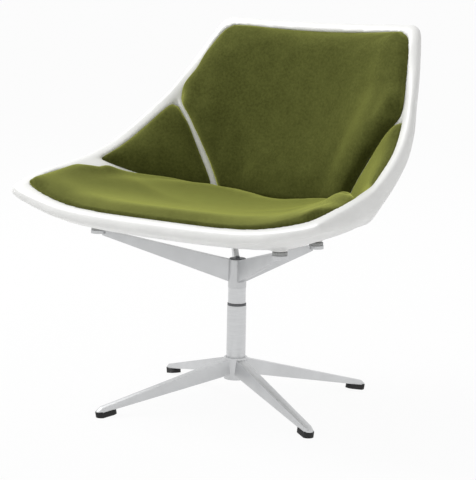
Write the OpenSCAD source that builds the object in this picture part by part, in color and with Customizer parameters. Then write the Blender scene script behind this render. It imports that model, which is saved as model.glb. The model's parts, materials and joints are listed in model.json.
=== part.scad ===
// Swivel lounge chair: a moulded shell with four cushions on a spider, a column and a four-legged base.
// Lengths are in millimetres. The floor is z = 0, the swivel axis is the Z axis, and the front faces -Y.

/* [Shell] */
// Width of the shell over its rim
shell_w = 772; // [740:1:800]
// Reach of the front edge ahead of the swivel axis
front_reach = 262; // [252:1:272]
// Reach of the top edge behind the swivel axis
back_reach = 268; // [258:1:278]
// Height of the seat's front edge at its middle
seat_edge_z = 391; // [386:1:410]
// Height of the rim's top edge
top_z = 752; // [735:1:770]
// Depth of the seat's hollow below its front edge
seat_dip = 19; // [14:1:24]
// Rise of the crease between seat and back above the front edge
crease_rise = 3; // [0:0.5:6]
// Half width of the crease between seat and back
crease_half_w = 163; // [156:1:170]
// Place of the crease behind the swivel axis
crease_y = 134; // [126:1:140]
// Sag of the side ribs below a straight line
rib_sag = 11; // [6:0.5:15]
// Inward bow of the struts
strut_bow = 11; // [6:0.5:15]
// Backward bow of the back's middle at half its height
back_bow = 12; // [4:0.5:20]
// Drop of the top edge's middle below its corners
top_drop = 4; // [0:0.5:8]
// Width of the front rim's face
front_rim_w = 20; // [17:0.5:23]
// Drop of the front rim's outer edge
front_rim_drop = 5; // [3:0.5:7]
// Set-back of the top rim's outer edge
top_rim_back = 12; // [9:0.5:15]
// Height of the top rim's face
top_rim_h = 16; // [13:0.5:19]
// Depth of the rim's wall at the front
wall_front = 27; // [24:0.5:30]
// Depth of the rim's wall along the sides
wall_side = 37; // [34:0.5:40]
// Extra depth of the wall behind the front corners
wall_bulge = 12; // [8:0.5:14]
// Extra depth of the outer face beside the seat's side walls
side_haunch = 14; // [10:0.5:16]
// Depth of the outer face along the crease
wall_crease = 41; // [38:0.5:46]
// Depth of the rim's wall where the struts meet it
wall_strut = 22; // [20:0.5:25]
// Depth of the rim's wall at the top edge
wall_top = 16; // [15:0.5:20]
// Depth of the shell's inner face along the panel edges
pan_edge = 6; // [5:0.5:7]
// Depth of the shell's inner face in the middle of the seat
seat_mid = 28; // [26:0.5:29]
// Depth of the shell's inner face in the middle of the back and the sides
back_mid = 26; // [24:0.5:27]
// Thickness of the shell in the middle of a panel
shell_t = 12; // [10.5:0.5:14]
// Width of the struts
strut_w = 15; // [13:0.5:17]
// Width of the side ribs
side_rib_w = 7; // [6:0.5:9]
// Reach of the side rib's widened end along the rim
gusset_w = 34; // [28:1:38]
// Width of the rib under the crease
crease_rib_w = 10; // [8:0.5:12]

/* [Cushions] */
// Height of the cushions' crown above their edges
crown = 17; // [12:0.5:19]
// Height of the side cushions' crown
side_crown = 13; // [9:0.5:15]
// Depth of the cushions' edge below the rim
cushion_edge = 2.5; // [2:0.25:3]
// Thickness of the cushions' drawn-in edge
edge_t = 1.6; // [1.2:0.1:2]
// Gap between a cushion's edge and the rim or crease
rim_gap = 1.2; // [0.8:0.1:2]
// Thickness of the carrier boards
board_t = 3; // [2.5:0.25:3.5]
// Gap between board and shell, and between board and cushion
layer_gap = 0.4; // [0.3:0.05:0.6]
// Distance from a cushion's edge to the edge of its board
board_inset = 8; // [6:0.5:10]
// Distance from a cushion's edge to the end of its rounding
roll_w = 22; // [18:1:26]
// Diameter of the dowels
dowel_d = 8; // [6:0.5:9]
// Depth of the dowels in the shell
dowel_depth = 7; // [5:0.5:8]

/* [Spider] */
// Diameter of the spider's hub
hub_d = 36; // [35.5:0.5:40]
// Height of the spider's hub
hub_h = 56; // [50:1:58]
// Thickness of the arms
arm_t = 10; // [8:0.5:12]
// Height of the arms at the hub
arm_root_h = 43; // [38:0.5:44]
// Height of the arms at their ends
arm_end_h = 10; // [9:0.5:12]
// Diameter of the pads at the ends of the arms
arm_pad_d = 30; // [26:1:34]
// Thickness of those pads
arm_pad_t = 6.5; // [6:0.5:8]
// Diameter of the pucks
puck_d = 28; // [24:1:32]
// Thickness of the pucks
puck_t = 6.5; // [5:0.5:8]
// Height of the shell's bosses over the front pucks
front_boss_h = 4; // [3:0.5:6]
// Height of the shell's bosses over the rear pucks
rear_boss_h = 32; // [26:0.5:36]
// Diameter of the mounting screws
screw_d = 6; // [5:0.5:7]
// Diameter of the mounting screws' heads
screw_head_d = 12; // [10:0.5:14]
// Height of the mounting screws' heads
screw_head_h = 3.5; // [3:0.5:4]
// Diameter of the threaded inserts
insert_d = 10; // [9:0.5:12]
// Length of the threaded inserts
insert_l = 9; // [7:0.5:10]
// Diameter of the cap on the hub
cap_d = 32; // [28:1:36]
// Thickness of the cap
cap_t = 2; // [1.5:0.25:3]
// Diameter of the knob on the cap
cap_knob_d = 8; // [6:0.5:10]
// Height of the knob on the cap
cap_knob_h = 4; // [3:0.5:6]

/* [Column] */
// Diameter of the lower column tube
tube_d = 38; // [36:0.5:40]
// Wall of the lower column tube
tube_wall = 4; // [3.5:0.25:4.5]
// Height of the lower column tube's top above the floor
tube_top = 198; // [190:1:206]
// Height of the ring in the seam over the tube
seam_h = 4.5; // [4:0.25:5]
// Diameter of the upper sleeve
sleeve_d = 35; // [34:0.5:35.5]
// Length of the upper sleeve
sleeve_l = 28; // [24:1:30]
// Diameter of the spindle
spindle_d = 20; // [18:0.5:20]
// Length of the upper bush
upper_bush_l = 30; // [24:1:34]
// Length of the lower bush
lower_bush_l = 20; // [16:1:24]
// Height of the lower bush's bottom above the floor
lower_bush_z = 104; // [100:1:120]
// Thickness of the upper bush's flange
flange_t = 2; // [1.5:0.25:2.5]
// Thickness of the bearing races
race_t = 1.5; // [1.25:0.25:2]
// Diameter of the bearing balls
ball_d = 3; // [2.5:0.25:3]
// Number of bearing balls
ball_count = 12; // [8:1:14]
// Running clearance on the radius of everything that turns
run_gap = 0.05; // [0.03:0.01:0.08]
// Clearance between pieces that are fixed in each other
fit_gap = 0.02; // [0.01:0.01:0.04]

/* [Base] */
// Reach of the foot pads from the swivel axis
base_reach = 300; // [290:1:312]
// Turn of the base star from straight ahead
base_angle = 66; // [0:1:90]
// Number of legs
leg_count = 4; // [4:1:5]
// Diameter of the base star's hub
star_hub_d = 46; // [45:0.5:50]
// Height of the hub's top above the floor
star_top = 94; // [90:1:98]
// Height of the hub's bottom above the floor
star_bottom = 50; // [46:1:52]
// Thickness of the hub's floor
star_floor_t = 6; // [5:0.5:8]
// Height of the legs' underside above the hub's at the root
leg_lift = 14; // [10:0.5:16]
// Width of a leg at the hub
leg_root_w = 25; // [22:0.5:28]
// Width of a leg at its end
leg_end_w = 18; // [16:0.5:20]
// Height of a leg at its end
leg_end_h = 9; // [8:0.5:12]
// Height of the leg's upright end over its pad
leg_sole_h = 4; // [3:0.5:6]
// Length over which the leg's end slopes down
leg_nose = 7; // [4:0.5:9]
// Length of a foot pad
pad_l = 42; // [38:1:46]
// Thickness of a foot pad
pad_t = 10; // [9:0.5:12]
// Height of the lip at a foot pad's outer end
pad_lip = 2; // [1.5:0.5:4]
// Length of the flat that a pad stands on
foot_flat = 10; // [8:0.5:14]
// Thickness of that lip
pad_lip_t = 1.2; // [1:0.1:2]
// Diameter of the foot pads' screws
pad_screw_d = 4; // [3:0.5:5]
// Length of the foot pads' screws
pad_screw_l = 16; // [14.5:0.5:16.5]
// Diameter of the bolt in the column's foot
bolt_d = 12; // [10:0.5:12]
// Height of the bolt's head
bolt_head_h = 7; // [6:0.5:8]
// Diameter of the bolt's head and washer
bolt_head_d = 24; // [20:0.5:28]
// Thickness of the bolt's washer
washer_t = 2; // [1.5:0.25:2.5]
// Thickness of the column's foot plug
plug_t = 12; // [10:0.5:14]

/* [Hidden] */
$fn = 48;

// Gaps that no piece's size sets
ring_gap = 0.5;
pad_gap = 0.2;
seat_gap = 0.3;
overrun = 1;
groove_t = 1.2;
clip_w = 3;
washer_rim = 1;
boss_rim = 1;
cage_share = 0.5;

// Kinds of panel
SEAT = 0;
BACK = 1;
SIDE = 2;

// Small helpers
function lerp(a, b, t) = a + (b - a) * t;
function unit(v) = v / norm(v);
function flip_x(p) = [-p[0], p[1], p[2]];
function pairs(a, b) = [for (k = [0:len(a) - 1]) [a[k], b[k]]];
function knot(rows, i) = rows[max(0, min(len(rows) - 1, i))];
function bend(a, b, c, d, f) =
    (2 * b + (c - a) * f + (2 * a - 5 * b + 4 * c - d) * f * f + (3 * b - a - 3 * c + d) * f * f * f) / 2;
function curve(rows, t) =
    let (i = min(floor(t), len(rows) - 2))
    bend(knot(rows, i - 1), knot(rows, i), knot(rows, i + 1), knot(rows, i + 2), t - i);

// The rim's inner and outer edge from the front corner (row 0) past the side rib (row 4) and
// the strut (row 8) to the top corner (row 14). Shares of the half width, of the reach from
// front to back, and of the height from the front edge to the top edge.
rim_in_shares = [
    [0.905, 0.075, 0.105], [0.930, 0.145, 0.140], [0.930, 0.250, 0.170], [0.900, 0.345, 0.185],
    [0.875, 0.415, 0.205], [0.840, 0.515, 0.265], [0.820, 0.610, 0.345], [0.775, 0.700, 0.450],
    [0.730, 0.770, 0.535], [0.695, 0.815, 0.625], [0.670, 0.850, 0.715], [0.645, 0.880, 0.805],
    [0.620, 0.915, 0.890], [0.590, 0.940, 0.935], [0.545, 0.950, 0.960]
];
rim_out_shares = [
    [0.962, 0.020, 0.084], [0.996, 0.112, 0.131], [0.985, 0.250, 0.170], [0.950, 0.355, 0.200],
    [0.920, 0.440, 0.245], [0.895, 0.525, 0.300], [0.865, 0.625, 0.395], [0.820, 0.710, 0.500],
    [0.775, 0.770, 0.590], [0.740, 0.825, 0.690], [0.705, 0.870, 0.780], [0.680, 0.910, 0.865],
    [0.650, 0.940, 0.935], [0.630, 0.960, 0.980], [0.585, 0.975, 1.000]
];
rib_row_count = 4;
strut_row_count = 8;
top_row_count = 14;
function shell_point(share) = [
    share[0] * shell_w / 2,
    lerp(-front_reach, back_reach, share[1]),
    lerp(seat_edge_z, top_z, share[2])
];
function rim_in(t) = shell_point(curve(rim_in_shares, t));
function rim_out(t) = shell_point(curve(rim_out_shares, t));

// Depth is measured away from a focus above the seat, so the layers of neighbouring panels meet
focus_share = 0.3;
focus_side_share = 0.5;
function outward(p) = unit([focus_side_share * p[0], p[1] + focus_share * front_reach, p[2] - top_z]);
function at_depth(p, d) = p + d * outward(p);

// Corner where the crease meets strut and side rib, and the lines that leave it
crease_corner = [crease_half_w, crease_y, seat_edge_z + crease_rise];
strut_top = rim_in(strut_row_count);
rib_end = rim_in(rib_row_count);
function arch(t) = 4 * t * (1 - t);
function strut(t) = lerp(crease_corner, strut_top, t) - [strut_bow * arch(t), 0, 0];
function rib(t) = at_depth(lerp(crease_corner, rib_end, t), rib_sag * arch(t));

// Reference surface of each panel, u across and v from the front or bottom, both from -1 to 1
seat_front = [0, -front_reach + front_rim_w, seat_edge_z];
back_top = [0, back_reach - top_rim_back, top_z - top_drop - top_rim_h];
dip_share = 1.2;
seat_corner_share = 8;
seat_side_shares = [5, 2.6];
back_side_share = 2.2;
function seat_end(t) = t < 0.5 ? rim_in(2 * rib_row_count * t) : rib(2 - 2 * t);
function seat_point(u, t) =
    let (e = seat_end(t),
         m = lerp(seat_front, crease_corner, t) - [0, 0, seat_dip * sin(180 * pow(t, dip_share))],
         w = lerp(seat_side_shares[0], seat_side_shares[1], min(1, 2 * t)))
    [u * e[0],
     lerp(m[1], e[1], pow(abs(u), seat_corner_share)),
     lerp(m[2], e[2], pow(abs(u), w))];
function back_end(t) = t < 0.5 ? strut(2 * t) : rim_in(lerp(strut_row_count, top_row_count, 2 * t - 1));
function back_point(u, t) =
    let (e = back_end(t), m = lerp(crease_corner, back_top, t) + [0, back_bow * arch(t), 0])
    [u * e[0], lerp(m[1], e[1], pow(abs(u), back_side_share)), lerp(m[2], e[2], u * u)];
function side_point(u, t) =
    let (a = strut(t), b = rim_in(lerp(rib_row_count, strut_row_count, t)))
    at_depth(lerp(a, b, u), rib_sag * arch(u) * (1 - t));

// Rows of each panel, as shares of the way from the front or bottom. Rows of neighbouring panels
// meet: a side panel's rows run on into the back's, and its columns into the seat's.
foot_w = 1;
edge_half = 0.25;
slant_share = 1.15;
strut_half = slant_share * strut_w / 2;
rib_half = side_rib_w / 2;
seat_l = norm([seat_front[1] - crease_y, crease_rise]);
back_l = norm([back_top[1] - crease_y, back_top[2] - crease_corner[2]]);
side_l = norm(strut_top - (crease_corner + rib_end) / 2);
side_edge = [0, rib_half, rib_half + foot_w, rib_half + rim_gap, rib_half + rim_gap + board_inset,
    rib_half + rim_gap + roll_w] / side_l;
SIDE_FIRST = 3;
SIDE_LAST = 10;
side_row_shares = [0.3, 0.5, 0.68, 0.82, 0.905, 0.92, 1];
seat_row_shares = [0.2, 0.35, 0.42];
back_row_shares = [0.6, 0.7, 0.8, 0.88];
side_rows = concat(side_edge, side_row_shares);
side_column_shares = [0, 0.08, 0.16, 0.28, 0.42, 0.57, 0.72, 0.82, 0.91, 1];
seat_rows = concat(
    [0, foot_w, rim_gap, rim_gap + board_inset, rim_gap + roll_w] / seat_l,
    seat_row_shares,
    [for (k = [len(side_column_shares) - 1:-1:1]) 1 - side_column_shares[k] / 2],
    [1 - rim_gap / seat_l, 1]
);
back_rows = concat(
    [0, rim_gap / back_l],
    [for (k = [1:len(side_rows) - 1]) if (k != SIDE_FIRST && k != SIDE_LAST) side_rows[k] / 2],
    back_row_shares,
    [for (d = [rim_gap + roll_w, rim_gap + board_inset, rim_gap, foot_w, 0]) 1 - d / back_l]
);
ROWS = [seat_rows, back_rows, side_rows];
COLUMNS = [18, 18, 11];
ROW_EDGES = [[2, len(seat_rows) - 2], [1, len(back_rows) - 3], [SIDE_FIRST, SIDE_LAST]];
ROW_LENGTHS = [seat_l, back_l, side_l];

// Half width of the rib or strut beside each panel, by the way along it
seat_way_shares = [0, 0.3, 0.35, 0.42, 0.5, 0.545, 0.59, 0.64, 0.715, 0.9, 1];
gusset_shares = [0.3, 0.82, 1, 0.88, 0.65, 0.35];
back_way_shares = [0, 0.44, 0.5, 0.56, 1];
seat_rib_widths = pairs(seat_way_shares,
    concat([edge_half, edge_half], gusset_w * gusset_shares, [rib_half, rib_half, strut_half]));
back_rib_widths = pairs(back_way_shares, [strut_half, strut_half, strut_half / 2, edge_half, edge_half]);
function low_half(p, t) =
    p == SEAT ? lookup(t, seat_rib_widths) : p == BACK ? lookup(t, back_rib_widths) : strut_half;
function high_half(p, t) = p == SIDE ? 0 : low_half(p, t);

// Columns of a row: edge, rib's edge, wall's foot, cushion's edge, board's edge, end of the
// cushion's rounding, then even steps
board_share = 0.2;
roll_share = 0.4;
function row_length(p, t) =
    p == SIDE ? norm(strut(t) - rim_in(lerp(rib_row_count, strut_row_count, t)))
    : 2 * (p == SEAT ? seat_end(t) : back_end(t))[0];
function edge_lines(half, room) = [
    0, half, half + foot_w, half + rim_gap, half + rim_gap + min(board_inset, board_share * room),
    half + rim_gap + min(roll_w, roll_share * room)
];
function high_lines(p, half, room) =
    let (e = edge_lines(half, room)) [for (k = [0:len(e) - 1]) if (p != SIDE || k != 1) e[k]];
function column_place(p, i, t) =
    let (size = row_length(p, t), n = COLUMNS[p], low = low_half(p, t), high = high_half(p, t),
         room = size - low - high - 2 * rim_gap,
         a = edge_lines(low, room), b = high_lines(p, high, room), k = len(a) - 1, m = n - len(b) + 1)
    i <= k ? a[i] : i >= m ? size - b[n - i] : lerp(a[k], size - b[len(b) - 1], (i - k) / (m - k));
function grid_point(p, i, j) =
    let (t = ROWS[p][j], u = column_place(p, i, t) / row_length(p, t))
    p == SEAT ? seat_point(2 * u - 1, t) : p == BACK ? back_point(2 * u - 1, t) : side_point(u, t);

// Distance of a grid point from the cushion's edge, across and along
function edge_distance(p, i, j) =
    let (t = ROWS[p][j], size = row_length(p, t), x = column_place(p, i, t), r = ROW_EDGES[p],
         y = t * ROW_LENGTHS[p])
    [min(x - low_half(p, t), size - x - high_half(p, t)) - rim_gap,
     min(y - ROWS[p][r[0]] * ROW_LENGTHS[p], ROWS[p][r[1]] * ROW_LENGTHS[p] - y)];

// Depths: the shell's wall and outer face, its inner face, the boards and the cushions
pan_mids = [seat_mid, back_mid, back_mid];
haunch_share = 6;
function haunch(p, s, t) = p == SEAT ? side_haunch * pow(abs(2 * s - 1), haunch_share) * sin(180 * sqrt(t)) : 0;
function wall_depth(p, s, t) =
    p == SEAT ? (t < 0.5 ? lerp(wall_front, wall_side, 2 * t) + wall_bulge * sin(360 * t) : lerp(wall_side, wall_crease, 2 * t - 1))
    : p == BACK ? (t < 0.5 ? lerp(wall_crease, wall_strut, 2 * t) : lerp(wall_strut, wall_top, 2 * t - 1))
    : lerp(lerp(wall_crease, wall_side, s), wall_strut, t);
swell_shares = [7, 3, 3];
function swell(s, k) = sqrt(max(0, 1 - pow(abs(2 * s - 1), k)));
function outer_depth(p, s, t) =
    lerp(wall_depth(p, s, t), pan_mids[p] + shell_t + haunch(p, s, t), swell(s, swell_shares[p]) * swell(t, swell_shares[BACK]));
function outer_at(p, i, j) =
    let (t = ROWS[p][j]) outer_depth(p, column_place(p, i, t) / row_length(p, t), t);
hollow_shares = [0, 0.08, 0.75, 1];
hollow_depths = pairs([-foot_w, 0, board_inset, roll_w], hollow_shares);
function hollow(d) = lookup(d, hollow_depths);
thin_share = 0.55;
function inner_at(p, i, j) =
    let (d = edge_distance(p, i, j))
    min(lerp(pan_edge, pan_mids[p], hollow(d[0]) * hollow(d[1])), outer_at(p, i, j) - thin_share * shell_t);
function rounding(d) = sqrt(max(0, 1 - pow(1 - max(0, min(1, d / roll_w)), 2)));
dome_share = 1 / 12;
dome_power_share = 4;
function dome(p, i, j) =
    let (s = 2 * i / COLUMNS[p] - 1, t = 2 * ROWS[p][j] - 1)
    1 - dome_share * (pow(s, dome_power_share) + pow(t, dome_power_share));
function cushion_top(p, i, j) =
    let (d = edge_distance(p, i, j))
    lerp(cushion_edge, -(p == SIDE ? side_crown : crown), rounding(d[0]) * rounding(d[1]) * dome(p, i, j));
function cushion_bottom(p, i, j) =
    let (d = edge_distance(p, i, j))
    min(d) < edge_half ? cushion_edge + edge_t : inner_at(p, i, j) - board_t - 2 * layer_gap;

// Solid between two depths of a panel, over some of its columns and rows
module sheet(p, columns, rows, upper, lower) {
    n = len(columns) - 1;
    m = len(rows) - 1;
    below = (n + 1) * (m + 1);
    polyhedron(
        points = [
            for (depth_of = [upper, lower]) for (i = columns) for (j = rows)
                at_depth(grid_point(p, i, j), depth_of(p, i, j))
        ],
        faces = concat(
            [for (i = [0:n - 1]) for (j = [0:m - 1]) let (a = i * (m + 1) + j, b = a + m + 1)
                each [[a, a + 1, b + 1], [a, b + 1, b]]],
            [for (i = [0:n - 1]) for (j = [0:m - 1]) let (a = below + i * (m + 1) + j, b = a + m + 1)
                each [[a, b + 1, a + 1], [a, b, b + 1]]],
            [for (i = [0:n - 1]) let (a = i * (m + 1), b = a + m + 1)
                each [[a, b, b + below], [a, b + below, a + below]]],
            [for (i = [0:n - 1]) let (a = i * (m + 1) + m, b = a + m + 1)
                each [[b, a, a + below], [b, a + below, b + below]]],
            [for (j = [0:m - 1]) let (a = j, b = j + 1)
                each [[b, a, a + below], [b, a + below, b + below]]],
            [for (j = [0:m - 1]) let (a = n * (m + 1) + j, b = a + 1)
                each [[a, b, b + below], [a, b + below, a + below]]]
        )
    );
}

// Heights up the column
floor_z = star_bottom + bolt_head_h + washer_t + overrun;
tube_bottom = floor_z + star_floor_t;
tube_bore_r = tube_d / 2 - tube_wall;
spindle_r = spindle_d / 2;
race_z = tube_top + flange_t;
ball_z = race_z + race_t + fit_gap + ball_d / 2;
upper_race_z = ball_z + ball_d / 2 + fit_gap;
sleeve_z = upper_race_z + race_t;
hub_z = sleeve_z + sleeve_l;
hub_top = hub_z + hub_h;
race_in_r = spindle_r + 2 * ring_gap;
ring_t = tube_wall - 2 * ring_gap;
ring_in_r = tube_d / 2 - ring_t / 2 - ring_gap;
flange_r = ring_in_r - 2 * run_gap - seat_gap;
race_out_r = flange_r - ring_gap;
race_mid_r = (race_in_r + race_out_r) / 2;
spindle_top = hub_top - 2 * screw_head_h - bolt_head_h;
washer_z = lower_bush_z - 2 * run_gap - washer_t;
clip_z = washer_z - groove_t;
spindle_bottom = clip_z - clip_w - overrun;
groove_r = spindle_r - overrun;
hub_screw_r = 5;
hub_screw_l = 30;
hub_screw_head_r = 8.5;

// Tube with a true bore
module ring(z, h, r_out, r_in) {
    translate([0, 0, z]) difference() {
        cylinder(h = h, r = r_out);
        translate([0, 0, -overrun]) cylinder(h = h + 2 * overrun, r = r_in);
    }
}

// Base star: hub, legs and the bores for column, bolt and pad screws
pad_r = leg_end_w / 2 + pad_gap + pad_lip_t;
leg_tip = base_reach - pad_r;
pad_start = base_reach - pad_l;
pad_screw_x = base_reach - pad_l / 2;
function leg_angle(k) = base_angle + 360 / leg_count * k;
root_taper_share = 0.8;
leg_draft = 1;
root_h = star_top - star_bottom - leg_lift - overrun;

// Legs and pads slope down to the feet, where each pad is cut flat to stand
slope_angle = atan((star_bottom + leg_lift - pad_t - 2 * seat_gap) / (base_reach - foot_flat));
module at_foot() translate([base_reach, 0, -foot_flat * sin(slope_angle)]) rotate([0, slope_angle, 0])
    translate([-base_reach, 0, 0]) children();
module leg() {
    hull() {
        translate([0, 0, star_bottom + leg_lift]) rotate([90, 0, 90]) linear_extrude(height = star_hub_d / 4)
            polygon([
                [-leg_root_w / 2, 0], [leg_root_w / 2, 0],
                [leg_root_w / 2 * root_taper_share, root_h], [-leg_root_w / 2 * root_taper_share, root_h]
            ]);
        at_foot() translate([leg_tip, 0, pad_t]) cylinder(h = leg_sole_h, r = leg_end_w / 2, $fn = 32);
        at_foot() translate([leg_tip - leg_nose, 0, pad_t])
            cylinder(h = leg_end_h, r = leg_end_w / 2 - leg_draft, $fn = 32);
    }
}
module base_star() color("silver") difference() {
    union() {
        translate([0, 0, star_bottom]) cylinder(h = star_top - star_bottom, r = star_hub_d / 2);
        for (k = [0:leg_count - 1]) rotate([0, 0, leg_angle(k)]) leg();
    }
    translate([0, 0, tube_bottom]) cylinder(h = star_top, r = tube_d / 2 + fit_gap);
    translate([0, 0, star_bottom - overrun]) cylinder(h = star_top, r = bolt_d / 2 + seat_gap);
    translate([0, 0, star_bottom - overrun])
        cylinder(h = floor_z - star_bottom + overrun, r = bolt_head_d / 2 + overrun);
    for (k = [0:leg_count - 1]) rotate([0, 0, leg_angle(k)]) at_foot()
        translate([pad_screw_x, 0, 0]) cylinder(h = pad_screw_l + fit_gap, r = pad_screw_d / 2 + fit_gap);
}

// Foot pad with rounded ends and a low lip around the leg's end, and its screw from below
pad_head_h = pad_screw_d / 2;
pad_sink = 1;
module foot_pad(k) color("black") rotate([0, 0, leg_angle(k)]) difference() {
    at_foot() difference() {
        union() {
            translate([leg_tip, 0, 0]) cylinder(h = pad_t + pad_lip, r = pad_r);
            translate([pad_start + pad_r, -pad_r, 0]) cube([leg_tip - pad_start - pad_r, 2 * pad_r, pad_t]);
            translate([pad_start + pad_r, 0, 0]) cylinder(h = pad_t, r = pad_r);
        }
        translate([leg_tip, 0, pad_t]) cylinder(h = pad_lip + overrun, r = leg_end_w / 2 + pad_gap);
        translate([leg_tip - pad_r, -pad_r - overrun, pad_t])
            cube([pad_r, 2 * pad_r + 2 * overrun, pad_lip + overrun]);
        translate([pad_screw_x, 0, -overrun]) cylinder(h = pad_t + 2 * overrun, r = pad_screw_d / 2 + seat_gap);
        translate([pad_screw_x, 0, -overrun])
            cylinder(h = pad_sink + pad_head_h + overrun, r = pad_screw_d + seat_gap);
    }
    translate([pad_start, -2 * pad_r, -2 * pad_t]) cube([pad_l + pad_r, 4 * pad_r, 2 * pad_t]);
}
module foot_pad_screws() color("dimgray") for (k = [0:leg_count - 1]) rotate([0, 0, leg_angle(k)]) at_foot()
    translate([pad_screw_x, 0, pad_sink]) {
        cylinder(h = pad_head_h, r = pad_screw_d);
        cylinder(h = pad_screw_l - pad_sink, r = pad_screw_d / 2);
    }

// Column
module lower_column() color("silver") ring(tube_bottom, tube_top - tube_bottom, tube_d / 2, tube_bore_r);
module column_plug() color("gray")
    ring(tube_bottom, plug_t, tube_bore_r - fit_gap, bolt_d / 2 + fit_gap);
module base_bolt() color("dimgray") {
    translate([0, 0, floor_z - washer_t - bolt_head_h]) cylinder(h = bolt_head_h, r = bolt_head_d / 2 - washer_rim, $fn = 6);
    translate([0, 0, floor_z - washer_t]) cylinder(h = washer_t + star_floor_t + plug_t, r = bolt_d / 2);
}
module base_washer() color("lightgray")
    ring(floor_z - washer_t, washer_t, bolt_head_d / 2, bolt_d / 2 + seat_gap);
module upper_bush() color("ivory") {
    ring(tube_top - upper_bush_l, upper_bush_l + flange_t, tube_bore_r - fit_gap, spindle_r + run_gap);
    ring(tube_top, flange_t, flange_r, tube_bore_r - overrun);
}
module lower_bush() color("ivory")
    ring(lower_bush_z, lower_bush_l, tube_bore_r - fit_gap, spindle_r + run_gap);
module lower_race() color("lightgray") ring(race_z, race_t, race_out_r, race_in_r);
module seam_ring() color("dimgray")
    ring(tube_top, seam_h, ring_in_r + ring_t / 2, ring_in_r);
module bearing_cage() color("goldenrod") difference() {
    ring(ball_z - cage_share * ball_d / 2, cage_share * ball_d, race_out_r - ring_gap, race_in_r + ring_gap);
    for (k = [0:ball_count - 1]) rotate([0, 0, 360 / ball_count * k]) translate([race_mid_r, 0, race_z])
        cylinder(h = 2 * ball_d, r = ball_d / 2 + run_gap);
}
module bearing_balls() color("silver") for (k = [0:ball_count - 1])
    rotate([0, 0, 360 / ball_count * k]) translate([race_mid_r, 0, ball_z]) sphere(d = ball_d);
module upper_race() color("lightgray") ring(upper_race_z, race_t, race_out_r, race_in_r);
module upper_sleeve() color("silver") {
    ring(sleeve_z, sleeve_l, sleeve_d / 2, race_out_r - ring_gap);
    ring(tube_top + seam_h + seat_gap, sleeve_z - tube_top - seam_h - seat_gap, sleeve_d / 2, flange_r);
}
module spindle() color("gray") difference() {
    translate([0, 0, spindle_bottom]) cylinder(h = spindle_top - spindle_bottom, r = spindle_r);
    ring(clip_z, groove_t, spindle_r + overrun, groove_r);
    translate([0, 0, spindle_top - hub_screw_l]) cylinder(h = hub_screw_l + overrun, r = hub_screw_r + fit_gap);
}
module retaining_washer() color("lightgray")
    ring(washer_z, washer_t, tube_bore_r - overrun, spindle_r + run_gap);
module retaining_ring() color("dimgray")
    ring(clip_z + run_gap, groove_t - 2 * run_gap, spindle_r + clip_w, groove_r + fit_gap);

// Mounting points under the shell, front and rear, on the seat panel
front_mount_share = [0.589, 0.235];
rear_mount_share = [0.51, 0.91];
function skin_point(u, t) = at_depth(seat_point(u, t), outer_depth(SEAT, (u + 1) / 2, t));
front_mount = skin_point(front_mount_share[0], front_mount_share[1]) - [0, 0, front_boss_h];
rear_mount = skin_point(rear_mount_share[0], rear_mount_share[1]) - [0, 0, rear_boss_h];
MOUNTS = [front_mount, flip_x(front_mount), rear_mount, flip_x(rear_mount)];

// Lays what follows along the line between two points
module along(from, to) {
    d = to - from;
    translate(from) rotate([0, acos(d[2] / norm(d)), atan2(d[1], d[0])]) children();
}

// Spider: hub, upright arms and pads
root_lift = 12;
module spider() color("silver") difference() {
    union() {
        translate([0, 0, hub_z]) cylinder(h = hub_h, r = hub_d / 2);
        for (m = MOUNTS) {
            reach = norm([m[0], m[1]]);
            pad_z = m[2] - puck_t - arm_pad_t;
            rotate([0, 0, atan2(m[1], m[0])]) {
                hull() {
                    translate([(hub_d - arm_t) / 2, -arm_t / 2, hub_z + root_lift]) cube([arm_t / 2, arm_t, arm_root_h]);
                    translate([reach - arm_pad_d / 2, -arm_t / 2, pad_z + arm_pad_t - arm_end_h])
                        cube([arm_pad_d / 4, arm_t, arm_end_h]);
                }
                translate([reach, 0, pad_z]) cylinder(h = arm_pad_t, r = arm_pad_d / 2);
            }
        }
    }
    translate([0, 0, hub_z - overrun]) cylinder(h = spindle_top - hub_z + overrun, r = spindle_r + fit_gap);
    translate([0, 0, hub_z]) cylinder(h = hub_h, r = hub_screw_r + seat_gap);
    translate([0, 0, hub_top - 2 * screw_head_h]) cylinder(h = 2 * screw_head_h + overrun, r = hub_screw_head_r + seat_gap);
    for (m = MOUNTS) translate([m[0], m[1], m[2] - puck_t - 2 * arm_end_h])
        cylinder(h = 3 * arm_end_h, r = screw_d / 2 + seat_gap);
    for (m = MOUNTS) translate([m[0], m[1], m[2] - puck_t - arm_pad_t - 2 * arm_end_h])
        cylinder(h = 2 * arm_end_h + screw_head_h, r = screw_head_d / 2 + seat_gap);
}
module spindle_screw() color("dimgray") {
    translate([0, 0, hub_top - 2 * screw_head_h]) cylinder(h = screw_head_h, r = hub_screw_head_r);
    translate([0, 0, spindle_top - hub_screw_l + overrun])
        cylinder(h = hub_top - 2 * screw_head_h - spindle_top + hub_screw_l, r = hub_screw_r);
}
module hub_cap() color("dimgray") {
    translate([0, 0, hub_top]) cylinder(h = cap_t, r = cap_d / 2);
    translate([0, 0, hub_top + cap_t]) cylinder(h = cap_knob_h, r = cap_knob_d / 2);
}
module puck(m) color("lightgray") translate([m[0], m[1], 0])
    ring(m[2] - puck_t, puck_t, puck_d / 2, screw_d / 2 + seat_gap);
module mount_screws() color("dimgray") for (m = MOUNTS)
    translate([m[0], m[1], m[2] - puck_t - arm_pad_t]) {
        cylinder(h = screw_head_h, r = screw_head_d / 2);
        cylinder(h = arm_pad_t + puck_t + insert_l - overrun, r = screw_d / 2);
    }
module shell_inserts() color("gold") for (m = MOUNTS) translate([m[0], m[1], 0])
    ring(m[2], insert_l, insert_d / 2, screw_d / 2 + fit_gap);

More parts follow.
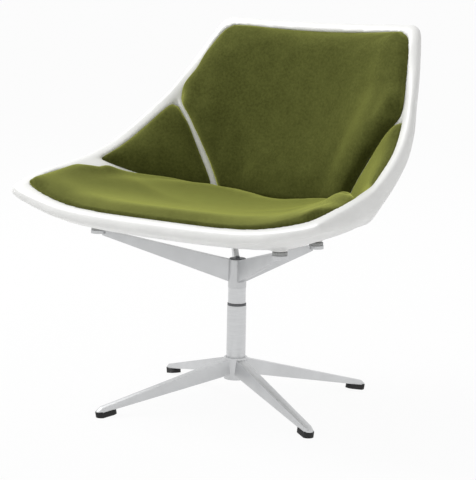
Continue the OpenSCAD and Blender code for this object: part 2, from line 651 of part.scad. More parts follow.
// Rim of the shell: section points as shares of the face, of the pan's edge, of the wall and of the crown
rim_crown = 2.2;
rib_crown = 0.8;
rim_section_shares = [
    [0.05, 0, 0, 0.5], [0.25, 0, 0, 0.95], [0.6, 0, 0, 1], [0.88, 0, 0, 0.4], [1, 0.35, 0, 0],
    [0.98, 0, 0.45, 0], [0.76, 0, 0.8, 0], [0.35, 0, 0.98, 0]
];
function rim_section(a, b, wall) = [
    for (r = rim_section_shares)
        lerp(a, b, r[0]) + outward(a) * (r[1] * pan_edge + r[2] * wall - r[3] * rim_crown)
];
front_face = [0, -front_rim_w, -front_rim_drop];
top_face = [0, top_rim_back, top_rim_h];
front_face_share = 6;
top_face_share = 4;
function edge_outer(a, face, row, share) =
    let (f = lerp(face, rim_out(row) - rim_in(row), pow(abs(a[0]) / rim_in(row)[0], share)))
    a + [sign(a[0]) * f[0], f[1], f[2]];

// The shell is one closed surface: the panels' inner faces, their outer faces and the rim between
// them. Neighbouring panels share the points of the rib or strut between them.
function without(list, drop) = [for (k = list) if (len(search(k, drop)) == 0) k];
EDGE_COLUMN = 3;
WIDE_LAST = COLUMNS[SEAT];
SIDE_COLUMN_LAST = COLUMNS[SIDE] - 2;
SEAT_LINES = without([for (j = [0:len(seat_rows) - 1]) j], ROW_EDGES[SEAT]);
BACK_LINES = without([for (j = [1:len(back_rows) - 1]) j], ROW_EDGES[BACK]);
SIDE_LINES = without([for (j = [1:len(side_rows) - 2]) j], ROW_EDGES[SIDE]);
WIDE_LINES = without([for (i = [0:WIDE_LAST]) i], [EDGE_COLUMN, WIDE_LAST - EDGE_COLUMN]);
SIDE_COLUMNS = without([for (i = [1:COLUMNS[SIDE]]) i], [EDGE_COLUMN, SIDE_COLUMN_LAST]);
wide_n = len(WIDE_LINES);
side_n = len(SIDE_COLUMNS);
seat_last = len(SEAT_LINES) - 1;
back_last = len(BACK_LINES);
side_last = len(SIDE_LINES) + 1;
rib_line = seat_last - side_n;
back_start = wide_n * (seat_last + 1);
side_start = back_start + wide_n * back_last;
layer_count = side_start + 2 * side_n * (side_last - 1);
function seat_id(i, j) = j * wide_n + i;
function back_id(i, j) = j == 0 ? seat_id(i, seat_last) : back_start + (j - 1) * wide_n + i;
function side_id(h, i, j) =
    let (e = h == 0 ? wide_n - 1 : 0)
    j == 0 ? seat_id(e, seat_last - i)
    : j == side_last || i == 0 ? back_id(e, j)
    : side_start + h * side_n * (side_last - 1) + (j - 1) * side_n + i - 1;
function at_front(p, j) = p == SEAT && j == 0;
function at_top(p, j) = p == BACK && j == len(back_rows) - 1;
function on_top(p, i, j) =
    p == SIDE ? i < 2 || i == COLUMNS[SIDE] || j < 2
    : i < 2 || i > WIDE_LAST - 2 || at_front(p, j) || at_top(p, j);
function shell_inner(p, i, j) =
    !on_top(p, i, j) ? inner_at(p, i, j)
    : p != SIDE && (i == 0 || i == WIDE_LAST) && !at_front(p, j) && !at_top(p, j) ? -rib_crown
    : 0;
function layer_points(depth_of) = concat(
    [for (j = SEAT_LINES) for (i = WIDE_LINES) at_depth(grid_point(SEAT, i, j), depth_of(SEAT, i, j))],
    [for (j = BACK_LINES) for (i = WIDE_LINES) at_depth(grid_point(BACK, i, j), depth_of(BACK, i, j))],
    [for (h = [0, 1]) for (j = SIDE_LINES) for (i = SIDE_COLUMNS)
        let (q = at_depth(grid_point(SIDE, i, j), depth_of(SIDE, i, j))) h == 0 ? q : flip_x(q)]
);
function cell(a, b, d, e) = [[a, d, e], [a, e, b]];
function turn(h, faces) = h == 0 ? faces : [for (f = faces) [f[0], f[2], f[1]]];
layer_faces = concat(
    [for (j = [0:seat_last - 1]) for (i = [0:wide_n - 2])
        each cell(seat_id(i, j), seat_id(i + 1, j), seat_id(i, j + 1), seat_id(i + 1, j + 1))],
    [for (j = [0:back_last - 1]) for (i = [0:wide_n - 2])
        each cell(back_id(i, j), back_id(i + 1, j), back_id(i, j + 1), back_id(i + 1, j + 1))],
    [for (h = [0, 1]) for (j = [0:side_last - 2]) for (i = [0:side_n - 1])
        each turn(h, cell(side_id(h, i, j), side_id(h, i + 1, j), side_id(h, i, j + 1), side_id(h, i + 1, j + 1)))],
    [for (h = [0, 1]) for (i = [0:side_n - 1])
        each turn(h, [[side_id(h, i, side_last - 1), side_id(h, 0, side_last), side_id(h, i + 1, side_last - 1)]])]
);
function mirrored(list) = [for (k = [len(list) - 1:-1:0]) [list[k][0], flip_x(list[k][1]), flip_x(list[k][2]), list[k][3]]];
function side_stations(h) = concat(
    [for (j = [1:rib_line]) let (t = 2 * rib_row_count * seat_rows[SEAT_LINES[j]])
        [seat_id(h == 0 ? wide_n - 1 : 0, j), rim_in(t), rim_out(t), wall_depth(SEAT, 1, t / 2 / rib_row_count)]],
    [for (j = [1:side_last - 1]) let (s = side_rows[SIDE_LINES[j - 1]], t = lerp(rib_row_count, strut_row_count, s))
        [side_id(h, side_n, j), rim_in(t), rim_out(t), wall_depth(SIDE, 1, s)]],
    [for (j = [side_last:back_last]) let (s = back_rows[BACK_LINES[j - 1]], t = lerp(strut_row_count, top_row_count, 2 * s - 1))
        [back_id(h == 0 ? wide_n - 1 : 0, j), rim_in(t), rim_out(t), wall_depth(BACK, 1, s)]]
);
stations = concat(
    [for (i = [0:wide_n - 1]) let (q = grid_point(SEAT, WIDE_LINES[i], 0)) [seat_id(i, 0), q, edge_outer(q, front_face, 0, front_face_share), wall_front]],
    side_stations(0),
    [for (i = [wide_n - 2:-1:1]) let (q = grid_point(BACK, WIDE_LINES[i], len(back_rows) - 1)) [back_id(i, back_last), q, edge_outer(q, top_face, top_row_count, top_face_share), wall_top]],
    mirrored(side_stations(1))
);
section_n = len(rim_section_shares);
function rim_id(k, r) =
    let (q = (k + len(stations)) % len(stations))
    r == 0 ? stations[q][0]
    : r > section_n ? stations[q][0] + layer_count
    : 2 * layer_count + q * section_n + r - 1;
module shell_body() polyhedron(
    points = concat(
        layer_points(function (p, i, j) shell_inner(p, i, j)),
        layer_points(function (p, i, j) outer_at(p, i, j)),
        [for (q = stations) each rim_section(q[1], q[2], q[3])]
    ),
    faces = concat(
        layer_faces,
        [for (f = layer_faces) [f[0] + layer_count, f[2] + layer_count, f[1] + layer_count]],
        [for (k = [0:len(stations) - 1]) for (r = [0:section_n])
            each cell(rim_id(k, r), rim_id(k, r + 1), rim_id(k + 1, r), rim_id(k + 1, r + 1))]
    )
);

// Bosses for the pucks, which end inside the shell's wall
boss_sink_share = 0.45;
module bosses() {
    for (k = [0:len(MOUNTS) - 1]) let (h = k < 2 ? front_boss_h : rear_boss_h) translate(MOUNTS[k]) hull() {
        cylinder(h = boss_rim + h - front_boss_h, r = puck_d / 2 + boss_rim, $fn = 32);
        translate([0, 0, max(insert_l + 2 * boss_rim, h + boss_sink_share * shell_t)])
            cylinder(h = boss_rim, r = insert_d / 2 + 2 * boss_rim, $fn = 32);
    }
}

// Dowels between boards and shell, at grid crossings of the panels
DOWELS = [[[7, 5], [11, 5], [7, 13], [11, 13]], [[7, 7], [11, 7], [7, 10], [11, 10], [8, 13], [10, 13]], [[6, 6], [6, 8]]];
dowel_drop_shares = [0.12, 0.22, 0.32];
function dowel_top(p) = pan_mids[p] + dowel_drop_shares[p] * dowel_d;
module dowels(p, r, top, foot, sides) for (q = DOWELS[p])
    along(at_depth(grid_point(p, q[0], q[1]), top), at_depth(grid_point(p, q[0], q[1]), foot))
        cylinder(h = foot - top, r = r, $fn = sides);
module dowel_pockets(p)
    dowels(p, dowel_d / 2 + seat_gap, pan_mids[p] - overrun, dowel_top(p) + dowel_depth + seat_gap, 16);
module dowel_pins(p) dowels(p, dowel_d / 2, dowel_top(p), dowel_top(p) + dowel_depth, 48);
module both_sides() {
    children();
    mirror([1, 0, 0]) children();
}
module shell() color("white") difference() {
    union() {
        shell_body();
        bosses();
    }
    for (m = MOUNTS) translate([m[0], m[1], m[2] - overrun])
        cylinder(h = insert_l + 2 * overrun, r = insert_d / 2 + seat_gap, $fn = 16);
    for (p = [SEAT, BACK]) dowel_pockets(p);
    both_sides() dowel_pockets(SIDE);
}

// Carrier boards, dowels and cushions
// The back cushion's first row is followed by the row at its board's edge.
function last_column(p) = p == SIDE ? SIDE_COLUMN_LAST : WIDE_LAST - EDGE_COLUMN;
function inner_rows(p) = [for (j = [ROW_EDGES[p][0] + (p == BACK ? 3 : 1):ROW_EDGES[p][1] - 1]) j];
module board(p) color("burlywood") sheet(p, [for (i = [EDGE_COLUMN + 1:last_column(p) - 1]) i], inner_rows(p),
    function (p, i, j) inner_at(p, i, j) - layer_gap - board_t,
    function (p, i, j) inner_at(p, i, j) - layer_gap);
module cushion(p) color("olivedrab") sheet(p, [for (i = [EDGE_COLUMN:last_column(p)]) i],
    concat([ROW_EDGES[p][0]], inner_rows(p), [ROW_EDGES[p][1]]),
    function (p, i, j) cushion_top(p, i, j),
    function (p, i, j) cushion_bottom(p, i, j));
module board_dowels() color("tan") {
    for (p = [SEAT, BACK]) dowel_pins(p);
    both_sides() dowel_pins(SIDE);
}

base_star();
foot_pad(0);  // foot_pad_1
foot_pad(1);  // foot_pad_2
foot_pad(2);  // foot_pad_3
foot_pad(3);  // foot_pad_4
foot_pad_screws();
lower_column();
column_plug();
base_bolt();
base_washer();
upper_bush();
lower_bush();
lower_race();
seam_ring();
bearing_cage();
bearing_balls();
upper_race();
upper_sleeve();
spindle();
retaining_washer();
retaining_ring();
spider();
spindle_screw();
hub_cap();
puck(MOUNTS[0]);  // puck_front_left
puck(MOUNTS[1]);  // puck_front_right
puck(MOUNTS[2]);  // puck_rear_left
puck(MOUNTS[3]);  // puck_rear_right
mount_screws();
shell_inserts();
shell();
board(SEAT);  // seat_board
board(BACK);  // back_board
board(SIDE);  // side_board_left
mirror([1, 0, 0]) board(SIDE);  // side_board_right
board_dowels();
cushion(SEAT);  // seat_cushion
cushion(BACK);  // back_cushion
cushion(SIDE);  // side_cushion_left
mirror([1, 0, 0]) cushion(SIDE);  // side_cushion_right
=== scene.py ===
import json
import math

import bpy
import bmesh
import numpy as np
from mathutils import Matrix, Vector
from mathutils.kdtree import KDTree


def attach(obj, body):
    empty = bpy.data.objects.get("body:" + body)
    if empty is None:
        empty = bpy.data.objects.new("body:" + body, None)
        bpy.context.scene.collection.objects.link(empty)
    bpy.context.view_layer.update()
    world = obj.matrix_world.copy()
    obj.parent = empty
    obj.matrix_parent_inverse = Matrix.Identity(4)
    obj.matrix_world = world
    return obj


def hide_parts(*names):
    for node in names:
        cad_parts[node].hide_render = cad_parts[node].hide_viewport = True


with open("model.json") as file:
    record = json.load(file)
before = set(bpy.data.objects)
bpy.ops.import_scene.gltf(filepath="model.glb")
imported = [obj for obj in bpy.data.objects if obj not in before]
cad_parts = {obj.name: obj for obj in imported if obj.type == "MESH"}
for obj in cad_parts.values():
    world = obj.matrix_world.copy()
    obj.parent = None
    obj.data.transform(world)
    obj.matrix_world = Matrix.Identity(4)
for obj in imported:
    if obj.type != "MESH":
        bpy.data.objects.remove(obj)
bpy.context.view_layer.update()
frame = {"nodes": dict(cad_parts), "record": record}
cad_nodes = frame["nodes"]
MM = 0.001

# Camera, at the photograph's place, height and lens
PICTURE_HEIGHT_PX = 480
FOCAL_LENGTH_PX = 1800
SENSOR_MM = 36
CAMERA_TURN = math.radians(37.9345)
CAMERA_PITCH = math.radians(8.7577)
CAMERA_ROLL = math.radians(1.0672)
CAMERA_DISTANCE = 3.49886
CAMERA_HEIGHT = 0.86682
lens = bpy.data.cameras.new("camera")
lens.sensor_width = SENSOR_MM
lens.lens = SENSOR_MM * FOCAL_LENGTH_PX / PICTURE_HEIGHT_PX
camera = bpy.data.objects.new("camera", lens)
bpy.context.scene.collection.objects.link(camera)
camera.matrix_world = (
    Matrix.Rotation(CAMERA_TURN, 4, "Z")
    @ Matrix.Translation((0, -CAMERA_DISTANCE, CAMERA_HEIGHT))
    @ Matrix.Rotation(math.pi / 2 - CAMERA_PITCH, 4, "X")
    @ Matrix.Rotation(CAMERA_ROLL, 4, "Z")
)
bpy.context.scene.camera = camera
bpy.context.scene.view_settings.view_transform = "Standard"


# Node helpers
def linear(code):
    """Linear colour of an sRGB hex value."""
    parts = [int(code[k : k + 2], 16) / 255 for k in (0, 2, 4)]
    return tuple(
        p / 12.92 if p <= 0.04045 else ((p + 0.055) / 1.055) ** 2.4 for p in parts
    ) + (1.0,)


def add_node(tree, kind, inputs=None, settings=None, stops=None):
    """Adds a node. Inputs are values, or the sockets that they link from. Stops are the two places
    and hex colours of a colour ramp."""
    node = tree.nodes.new(kind)
    for name, value in (settings or {}).items():
        setattr(node, name, value)
    for name, value in (inputs or {}).items():
        if isinstance(value, bpy.types.NodeSocket):
            tree.links.new(value, node.inputs[name])
        else:
            node.inputs[name].default_value = value
    for number, (place, code) in enumerate(stops or []):
        node.color_ramp.elements[number].position = place
        node.color_ramp.elements[number].color = linear(code)
    return node


def cleared_tree(owner):
    """The node tree of a material or a world, emptied."""
    owner.use_nodes = True
    owner.node_tree.nodes.clear()
    return owner.node_tree


def new_material(name):
    """An empty material, its tree, and its Object coordinates."""
    material = bpy.data.materials.new(name)
    tree = cleared_tree(material)
    place = add_node(tree, "ShaderNodeTexCoord").outputs["Object"]
    return material, tree, place


def finish_surface(material, tree, surface, height, bump_mm, strength):
    """Ends a material in a Principled surface with a bump of bump_mm."""
    bump = {"Height": height, "Distance": bump_mm * MM, "Strength": strength}
    surface["Normal"] = add_node(tree, "ShaderNodeBump", bump).outputs["Normal"]
    shader = add_node(tree, "ShaderNodeBsdfPrincipled", surface)
    add_node(tree, "ShaderNodeOutputMaterial", {"Surface": shader.outputs["BSDF"]})
    return material


# Felted wool cloth, milled until the weave closes: matt, with a soft halo of fibres that catches
# light at grazing angles. Its clumps of lighter and darker fibre are 3 mm across and its single
# fibres 0.02 mm, too fine to show, so they are drawn at 5 mm and 0.9 mm.
WOOL_CLUMP_MM = 5
WOOL_FIBRE_MM = 0.9
WOOL_DRIFT_MM = 38
WOOL_DRIFT_SHARE = 0.3
WOOL_DARK = "3C3F18"
WOOL_LIGHT = "565A2B"
WOOL_HALO = "EDF381"


def felted_wool():
    material, tree, place = new_material("felted_wool")
    clumps = add_node(
        tree,
        "ShaderNodeTexNoise",
        {"Vector": place, "Scale": 1 / (WOOL_CLUMP_MM * MM), "Detail": 3.0, "Roughness": 0.65},
    )
    drift = add_node(
        tree,
        "ShaderNodeTexNoise",
        {"Vector": place, "Scale": 1 / (WOOL_DRIFT_MM * MM), "Detail": 2.0},
    )
    fibres = add_node(
        tree,
        "ShaderNodeTexNoise",
        {"Vector": place, "Scale": 1 / (WOOL_FIBRE_MM * MM), "Detail": 4.0, "Roughness": 0.7},
    )
    tone = add_node(
        tree,
        "ShaderNodeMix",
        {"Factor": WOOL_DRIFT_SHARE, "A": clumps.outputs["Fac"], "B": drift.outputs["Fac"]},
    )
    colour = add_node(
        tree,
        "ShaderNodeValToRGB",
        {"Fac": tone.outputs["Result"]},
        stops=[(0.33, WOOL_DARK), (0.67, WOOL_LIGHT)],
    )
    cloth = {
        "Base Color": colour.outputs["Color"],
        "Roughness": 0.95,
        "Sheen Weight": 1.0,
        "Sheen Roughness": 0.43,
        "Sheen Tint": linear(WOOL_HALO),
        "Specular IOR Level": 0.1,
    }
    return finish_surface(material, tree, cloth, fibres.outputs["Fac"], bump_mm=0.5, strength=0.55)


# Satin and matt finishes share one recipe: a fine texture in the gloss and bump, over a slow drift
# of colour. Squeeze packs the pattern that many times closer along an axis, which leaves lines
# across it.
def mottled_finish(
    name, light, dark, grain_mm, drift_mm, gloss, bump_mm, strength, metallic=0.0, squeeze=(1, 1, 1)
):
    material, tree, place = new_material(name)
    packed = add_node(
        tree, "ShaderNodeMapping", {"Vector": place, "Scale": squeeze}
    ).outputs["Vector"]
    texture = add_node(
        tree,
        "ShaderNodeTexNoise",
        {"Vector": packed, "Scale": 1 / (grain_mm * MM), "Detail": 3.0},
    )
    drift = add_node(
        tree,
        "ShaderNodeTexNoise",
        {"Vector": packed, "Scale": 1 / (drift_mm * MM), "Detail": 2.0},
    )
    colour = add_node(
        tree,
        "ShaderNodeValToRGB",
        {"Fac": drift.outputs["Fac"]},
        stops=[(0.3, dark), (0.7, light)],
    )
    rough = add_node(
        tree,
        "ShaderNodeMapRange",
        {"Value": texture.outputs["Fac"], "To Min": gloss[0], "To Max": gloss[1]},
    )
    surface = {
        "Base Color": colour.outputs["Color"],
        "Roughness": rough.outputs["Result"],
        "Metallic": metallic,
    }
    return finish_surface(material, tree, surface, texture.outputs["Fac"], bump_mm, strength)


# Injection-moulded nylon from a spark-eroded mould: satin white with a very fine even texture
def moulded_nylon(name, light, dark):
    return mottled_finish(
        name, light, dark, grain_mm=1.1, drift_mm=60, gloss=(0.36, 0.44), bump_mm=0.03, strength=0.3
    )


# Sand-cast aluminium, ground and tumbled to a satin: pale, softly reflecting, faintly pebbled
def satin_casting(name, light, dark):
    return mottled_finish(
        name,
        light,
        dark,
        grain_mm=1.4,
        drift_mm=45,
        gloss=(0.34, 0.44),
        bump_mm=0.04,
        strength=0.3,
        metallic=0.9,
    )


# Drawn aluminium tube, polished with fine paper: lines of 0.4 mm round the tube, soft gloss
def satin_tube(name, light, dark):
    return mottled_finish(
        name,
        light,
        dark,
        grain_mm=6,
        drift_mm=30,
        gloss=(0.28, 0.36),
        bump_mm=0.015,
        strength=0.25,
        metallic=0.9,
        squeeze=(1, 1, 15),
    )


# Turned bar, fine-brushed round its axis: streaks of 0.4 mm
def turned_metal(name, light, dark, gloss):
    return mottled_finish(
        name,
        light,
        dark,
        grain_mm=9,
        drift_mm=9,
        gloss=gloss,
        bump_mm=0.02,
        strength=0.3,
        metallic=1.0,
        squeeze=(1, 1, 22),
    )


# Compression-moulded rubber or injected plastic: dull, with a talc-fine mottle
def moulded_compound(name, light, dark, gloss):
    return mottled_finish(
        name, light, dark, grain_mm=1.6, drift_mm=1.6, gloss=gloss, bump_mm=0.06, strength=0.35
    )


# Birch plywood, cut and sanded: pale face veneer with long grain lines 2 mm apart
def birch_plywood():
    return mottled_finish(
        "birch_plywood",
        "DCBB8B",
        "B98F5C",
        grain_mm=26,
        drift_mm=26,
        gloss=(0.55, 0.65),
        bump_mm=0.08,
        strength=0.4,
        squeeze=(1, 12, 12),
    )


finishes = {
    "wool": felted_wool(),
    "shell_white": moulded_nylon("moulded_nylon", "EBEBE9", "E6E6E4"),
    "cast_base": satin_casting("satin_aluminium_base", "D0D1D2", "C9CACB"),
    "cast_spider": satin_casting("satin_aluminium_spider", "CBCCCD", "C4C5C6"),
    "column_tube": satin_tube("satin_aluminium_tube", "D2D3D4", "CBCCCD"),
    "turned_steel": turned_metal("turned_steel", "A9AAAC", "98999B", (0.22, 0.38)),
    "dark_steel": turned_metal("black_oxide_steel", "3A3A3D", "2C2C2E", (0.35, 0.5)),
    "ball_steel": turned_metal("bearing_steel", "D2D3D6", "CACBCE", (0.08, 0.12)),
    "cage_brass": turned_metal("machined_brass", "C9A45A", "B9924A", (0.22, 0.38)),
    "bush_plastic": moulded_compound("natural_acetal", "D8D2BC", "CEC8B2", (0.4, 0.5)),
    "dark_plastic": moulded_compound("grey_nylon", "66676A", "5A5B5E", (0.45, 0.6)),
    "foot_rubber": moulded_compound("black_foot_rubber", "141414", "0C0C0C", (0.6, 0.75)),
    "puck_rubber": moulded_compound("grey_puck_rubber", "A6A7A6", "9A9B9A", (0.6, 0.75)),
    "carrier_wood": birch_plywood(),
}
slot_of = {part["node"]: part["material_slot"] for part in frame["record"]["subparts"]}
for name, node in cad_nodes.items():
    node.data.materials.clear()
    node.data.materials.append(finishes[slot_of[name]])


# Shaping helpers
WELD_DISTANCE = 0.01 * MM
QUAD_FACE_ANGLE = math.radians(60)
QUAD_SHAPE_ANGLE = math.radians(120)
RELAX_FACTOR = 0.5
SITTER = np.array([0.0, -0.08, 0.75])


def select_only(piece):
    bpy.ops.object.select_all(action="DESELECT")
    piece.select_set(True)
    bpy.context.view_layer.objects.active = piece


def edit_all(piece, operator, **settings):
    """Runs an edit-mode operator on the whole of a piece."""
    select_only(piece)
    bpy.ops.object.mode_set(mode="EDIT")
    bpy.ops.mesh.select_all(action="SELECT")
    operator(**settings)
    bpy.ops.object.mode_set(mode="OBJECT")


def apply_modifier(piece, kind, **settings):
    select_only(piece)
    modifier = piece.modifiers.new(kind.lower(), kind)
    for name, value in settings.items():
        setattr(modifier, name, value)
    bpy.ops.object.modifier_apply(modifier=modifier.name)


def round_off(piece, levels):
    apply_modifier(piece, "SUBSURF", levels=levels, render_levels=levels)


def relax(piece, steps, **settings):
    apply_modifier(piece, "SMOOTH", factor=RELAX_FACTOR, iterations=steps, **settings)


def shade_round(piece):
    select_only(piece)
    bpy.ops.object.shade_smooth()


def shade_by_angle(piece, angle):
    select_only(piece)
    bpy.ops.object.shade_smooth_by_angle(angle=angle)


def copy_of(node, name):
    """A CAD node's mesh as a new piece, with its loose triangles merged."""
    piece = bpy.data.objects.new(name, cad_nodes[node].data.copy())
    piece.data.name = name
    bpy.context.scene.collection.objects.link(piece)
    edit_all(piece, bpy.ops.mesh.remove_doubles, threshold=WELD_DISTANCE)
    return piece


def quad_copy_of(node, name):
    """The same with its triangles paired, so that it rounds off evenly."""
    piece = copy_of(node, name)
    edit_all(
        piece,
        bpy.ops.mesh.tris_convert_to_quads,
        face_threshold=QUAD_FACE_ANGLE,
        shape_threshold=QUAD_SHAPE_ANGLE,
    )
    return piece


def place_piece(piece, body, node):
    """Gives a piece its finish and its body, and hides the CAD node that it stands for."""
    piece.data.materials.clear()
    piece.data.materials.append(finishes[slot_of[node]])
    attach(piece, body)
    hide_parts(node)


def read_vertices(piece, kind="co"):
    """The places of a piece's vertices, or with kind "normal" their outward directions."""
    values = np.zeros(len(piece.data.vertices) * 3)
    piece.data.vertices.foreach_get(kind, values)
    return values.reshape(-1, 3)


def move_vertices(piece, places):
    piece.data.vertices.foreach_set("co", places.ravel())
    piece.data.update()


def facing_sitter(piece):
    """How far each vertex faces the sitter, from -1 to 1."""
    toward_sitter = SITTER - read_vertices(piece)
    toward_sitter /= np.linalg.norm(toward_sitter, axis=1)[:, None]
    return (read_vertices(piece, "normal") * toward_sitter).sum(1)


def ramp(values, start, span):
    """0 up to start, 1 from start + span on, and even between. A negative span counts downward."""
    return np.clip((values - start) / span, 0, 1)


# Metal and rubber pieces with eased edges, as a casting, a turned part or a moulding has
FLAT_ANGLE = math.radians(1.5)
SHARP_ANGLE = math.radians(32)
SMOOTH_ANGLE = math.radians(38)
EDGE_SEGMENTS = 3


def ease_edges(node, name, body, width_mm):
    piece = copy_of(node, name)
    edit_all(piece, bpy.ops.mesh.dissolve_limited, angle_limit=FLAT_ANGLE)
    apply_modifier(
        piece,
        "BEVEL",
        width=width_mm * MM,
        segments=EDGE_SEGMENTS,
        limit_method="ANGLE",
        angle_limit=SHARP_ANGLE,
    )
    edit_all(piece, bpy.ops.mesh.quads_convert_to_tris)
    shade_by_angle(piece, SMOOTH_ANGLE)
    place_piece(piece, body, node)


# Shell: the moulding's facets run out into one smooth surface, its edges eased by a few
# millimetres. The outside of its two front corners is relaxed further: each pair is the place where
# that starts, and the span over which it comes in. The skin is set out by 1 mm, over the tips of
# the dowels in the shell.
SHELL_VOXEL = 3 * MM
SHELL_RELAX_STEPS = 8
CORNER_RELAX_STEPS = 60
CORNER_OFF_CENTRE = (0.26, 0.06)
CORNER_FORWARD = (0.02, -0.08)
CORNER_FACING = 0.1
SHELL_SKIN = 1 * MM
SHELL_KEPT_SHARE = 0.45


def mould_shell():
    shell = quad_copy_of("shell", "shell_moulding")
    round_off(shell, 2)
    apply_modifier(shell, "REMESH", mode="VOXEL", voxel_size=SHELL_VOXEL)
    relax(shell, SHELL_RELAX_STEPS)
    relax_front_corners(shell)
    apply_modifier(shell, "DISPLACE", strength=SHELL_SKIN, mid_level=0)
    apply_modifier(shell, "DECIMATE", ratio=SHELL_KEPT_SHARE)
    shade_round(shell)
    place_piece(shell, "seat", "shell")


def relax_front_corners(shell):
    places = read_vertices(shell)
    share = ramp(np.abs(places[:, 0]), *CORNER_OFF_CENTRE)
    share *= ramp(places[:, 1], *CORNER_FORWARD)
    share *= facing_sitter(shell) < CORNER_FACING
    corners = shell.vertex_groups.new(name="front_corners")
    for number in np.flatnonzero(share):
        corners.add([int(number)], share[number], "REPLACE")
    relax(shell, CORNER_RELAX_STEPS, vertex_group="front_corners")
    shell.vertex_groups.clear()


# Cushions: foam in a tight wool cover, its edge tucked into the gap round the rim. A wing is the
# fuller side of a cushion. Each pair is the place where it starts, and the span over which it comes
# in: off the centre, and down from the top.
TUCKED_ANGLE = math.radians(50)
TUCKED_CREASE = 0.55
WING_OFF_CENTRE = (0.1, 0.1)
WING_BELOW_TOP = (0.72, -0.12)
TOP_FACING = 0.35
CUSHION_PRESSURE = 4
CUSHION_FRAMES = 20
COVER_TENSION = 12
COVER_BENDING = 2
COVER_MASS = 0.3
COVER_RELAX_STEPS = 4
LEAST_MOVE = 1e-9


def stuff_cushion(node, name, rise_mm, ridge_inset_mm, ridge_rise_mm, wing_rise_mm=0):
    cushion = quad_copy_of(node, name)
    outline = crease_outline(cushion)
    round_off(cushion, 2)
    fill_border(cushion, outline, ridge_inset_mm * MM, ridge_rise_mm * MM, wing_rise_mm * MM)
    inflate(cushion, rise_mm * MM)
    round_off(cushion, 1)
    shade_round(cushion)
    place_piece(cushion, "seat", node)


def crease_outline(cushion):
    """Keeps the tucked edge near where the CAD has it, while the rest is rounded. Returns points
    on it."""
    mesh = bmesh.new()
    mesh.from_mesh(cushion.data)
    crease = mesh.edges.layers.float.new("crease_edge")
    points = []
    for edge in mesh.edges:
        if edge.is_manifold and edge.calc_face_angle() > TUCKED_ANGLE:
            edge[crease] = TUCKED_CREASE
            start, end = (corner.co for corner in edge.verts)
            points += [start.lerp(end, share) for share in (0, 0.25, 0.5, 0.75)]
    mesh.to_mesh(cushion.data)
    mesh.free()
    return points


def fill_border(cushion, outline, ridge_inset, ridge_rise, wing_rise):
    """Makes the foam fullest along a ridge inside the outline, from which the cover rolls down.
    The ridge is higher by wing_rise at both sides, below the top corners."""
    nearest = KDTree(len(outline))
    for number, point in enumerate(outline):
        nearest.insert(point, number)
    nearest.balance()
    places = read_vertices(cushion)
    inset = np.array([nearest.find(place)[2] for place in places]) / ridge_inset
    wing = ramp(np.abs(places[:, 0]), *WING_OFF_CENTRE) * ramp(places[:, 2], *WING_BELOW_TOP)
    rise = (ridge_rise + wing_rise * wing) * inset * np.exp(1 - inset)
    rise *= ramp(facing_sitter(cushion), 0, TOP_FACING)
    move_vertices(cushion, places + read_vertices(cushion, "normal") * rise[:, None])


def inflate(cushion, rise):
    """Cloth under air pressure: the top swells by up to rise, while edge and base stay."""
    start = read_vertices(cushion)
    held = cushion.vertex_groups.new(name="held")
    below_top = np.flatnonzero(facing_sitter(cushion) < TOP_FACING)
    held.add([int(number) for number in below_top], 1.0, "REPLACE")
    cloth = cushion.modifiers.new("cloth", "CLOTH")
    cloth.settings.vertex_group_mass = "held"
    cloth.settings.use_pressure = True
    cloth.settings.uniform_pressure_force = CUSHION_PRESSURE
    cloth.settings.effector_weights.gravity = 0
    cloth.settings.tension_stiffness = COVER_TENSION
    cloth.settings.bending_stiffness = COVER_BENDING
    cloth.settings.mass = COVER_MASS
    cloth.collision_settings.use_collision = False
    for number in range(1, CUSHION_FRAMES + 1):
        bpy.context.scene.frame_set(number)
    select_only(cushion)
    bpy.ops.object.modifier_apply(modifier="cloth")
    bpy.context.scene.frame_set(1)
    move = read_vertices(cushion) - start
    length = np.linalg.norm(move, axis=1)
    move *= (rise * np.tanh(length / rise) / np.maximum(length, LEAST_MOVE))[:, None]
    move_vertices(cushion, start + move)
    relax(cushion, COVER_RELAX_STEPS, vertex_group="held", invert_vertex_group=True)
    cushion.vertex_groups.clear()


mould_shell()
stuff_cushion(
    "seat_cushion",
    "seat_cushion_cover",
    rise_mm=5,
    ridge_inset_mm=15,
    ridge_rise_mm=11,
)
stuff_cushion(
    "back_cushion",
    "back_cushion_cover",
    rise_mm=4.5,
    ridge_inset_mm=34,
    ridge_rise_mm=4,
    wing_rise_mm=12,
)
for side in ("left", "right"):
    stuff_cushion(
        f"side_cushion_{side}",
        f"{side}_side_cushion_cover",
        rise_mm=7,
        ridge_inset_mm=20,
        ridge_rise_mm=3,
    )
ease_edges("base_star", "base_casting", "base", width_mm=1.6)
ease_edges("spider", "spider_casting", "seat", width_mm=1.2)
for number in (1, 2, 3, 4):
    ease_edges(f"foot_pad_{number}", f"foot_pad_moulding_{number}", "base", width_mm=1.0)
ease_edges("lower_column", "lower_column_tube", "base", width_mm=0.6)
ease_edges("upper_sleeve", "upper_column_sleeve", "seat", width_mm=0.6)
ease_edges("hub_cap", "hub_cap_moulding", "seat", width_mm=0.8)
for place in ("front_left", "front_right", "rear_left", "rear_right"):
    ease_edges(f"puck_{place}", f"puck_moulding_{place}", "seat", width_mm=0.8)

# Round pieces that keep the CAD's own mesh
TURNED_ANGLE = math.radians(35)
for name in ("seam_ring", "bearing_balls", "spindle", "base_bolt", "mount_screws"):
    shade_by_angle(cad_nodes[name], TURNED_ANGLE)


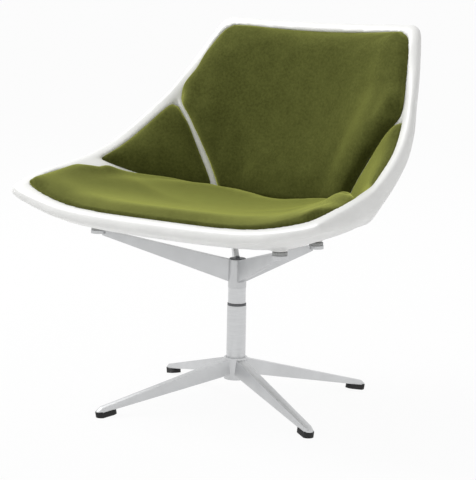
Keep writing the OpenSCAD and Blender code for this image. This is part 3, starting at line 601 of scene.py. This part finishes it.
# Studio: a white floor that keeps the shadow, a white room, a large soft lamp from the upper left.
# The floor runs past the top of the picture, so no horizon shows.
FLOOR_RADIUS = 60
FLOOR_SIDES = 128
FLOOR_WHITE = 0.93
ROOM_WHITE = 1.0
ROOM_LIGHT = 0.67
LAMP_PLACE = (-2.0, -0.5, 3.1)
LAMP_TARGET = (0, 0, 0.4)
LAMP_SIZE = 1.4
LAMP_WATTS = 72


def studio_white(tree, surface, white_kind, share):
    """Lets camera, glossy and transmission rays see share of plain white over the lit surface."""
    ray = add_node(tree, "ShaderNodeLightPath").outputs
    seen = ray["Is Camera Ray"]
    for kind in ("Is Glossy Ray", "Is Transmission Ray"):
        either = add_node(tree, "ShaderNodeMath", {0: seen, 1: ray[kind]}, {"operation": "MAXIMUM"})
        seen = either.outputs[0]
    part = add_node(tree, "ShaderNodeMath", {0: seen, 1: share}, {"operation": "MULTIPLY"})
    white = add_node(tree, white_kind, {"Color": linear("FFFFFF"), "Strength": 1.0})
    return add_node(
        tree, "ShaderNodeMixShader", {"Fac": part.outputs[0], 1: surface, 2: white.outputs[0]}
    ).outputs[0]


bpy.ops.mesh.primitive_circle_add(vertices=FLOOR_SIDES, radius=FLOOR_RADIUS, fill_type="NGON")
floor = bpy.context.object
floor.name = "studio_floor"
paper = bpy.data.materials.new("white_paper_floor")
tree = cleared_tree(paper)
lit = add_node(tree, "ShaderNodeBsdfDiffuse", {"Color": linear("F4F4F4"), "Roughness": 1.0})
seen_paper = studio_white(tree, lit.outputs[0], "ShaderNodeEmission", FLOOR_WHITE)
add_node(tree, "ShaderNodeOutputMaterial", {"Surface": seen_paper})
floor.data.materials.append(paper)

room = bpy.data.worlds.new("studio_room")
bpy.context.scene.world = room
tree = cleared_tree(room)
air = add_node(tree, "ShaderNodeBackground", {"Color": linear("FFFFFF"), "Strength": ROOM_LIGHT})
seen_room = studio_white(tree, air.outputs[0], "ShaderNodeBackground", ROOM_WHITE)
add_node(tree, "ShaderNodeOutputWorld", {"Surface": seen_room})

softbox = bpy.data.lights.new("key_softbox", "AREA")
softbox.shape = "RECTANGLE"
softbox.size = LAMP_SIZE
softbox.size_y = LAMP_SIZE
softbox.energy = LAMP_WATTS
lamp = bpy.data.objects.new("key_softbox", softbox)
bpy.context.scene.collection.objects.link(lamp)
aim = (Vector(LAMP_TARGET) - Vector(LAMP_PLACE)).to_track_quat("-Z", "Y")
lamp.matrix_world = Matrix.Translation(LAMP_PLACE) @ aim.to_matrix().to_4x4()
